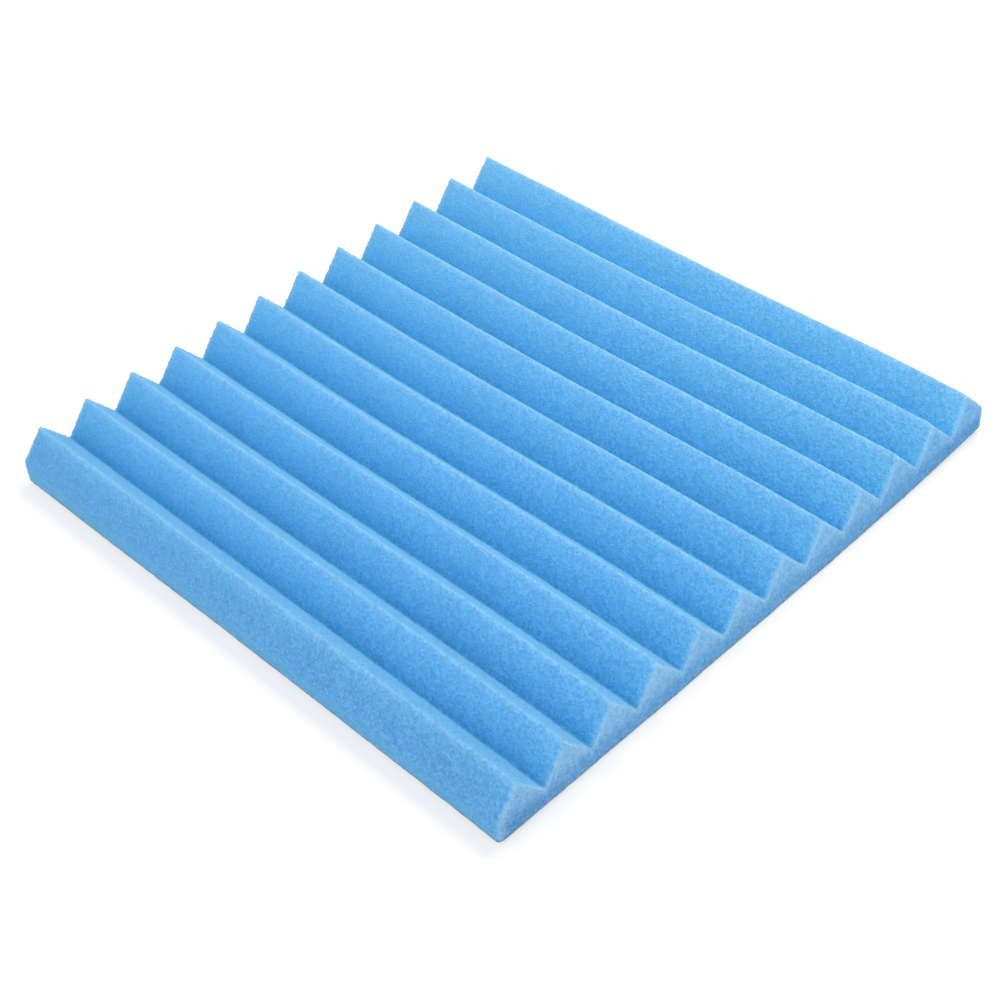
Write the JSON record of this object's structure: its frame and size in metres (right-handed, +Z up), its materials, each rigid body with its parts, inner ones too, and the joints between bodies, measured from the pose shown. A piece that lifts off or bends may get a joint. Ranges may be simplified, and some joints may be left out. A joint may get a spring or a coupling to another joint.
{
  "type": "ribbed filter sponge",
  "caption": "Nearly square sheet of blue open-cell filter foam with a flat underside and parallel wedge ridges on top. Water passes through it and its pores hold back dirt.",
  "frame": {"origin": "centre of the flat underside", "axes": "+X along the ridges, +Y across the ridges from the near edge to the far edge, +Z up out of the ridged face"},
  "size_m": [0.3, 0.3028, 0.025],
  "materials": {
    "foam": "matte open-cell polyurethane foam with fine pores, dyed sky blue"
  },
  "bodies": {
    "root": {"ribbed_sponge": "foam"}
  },
  "joints": []
}
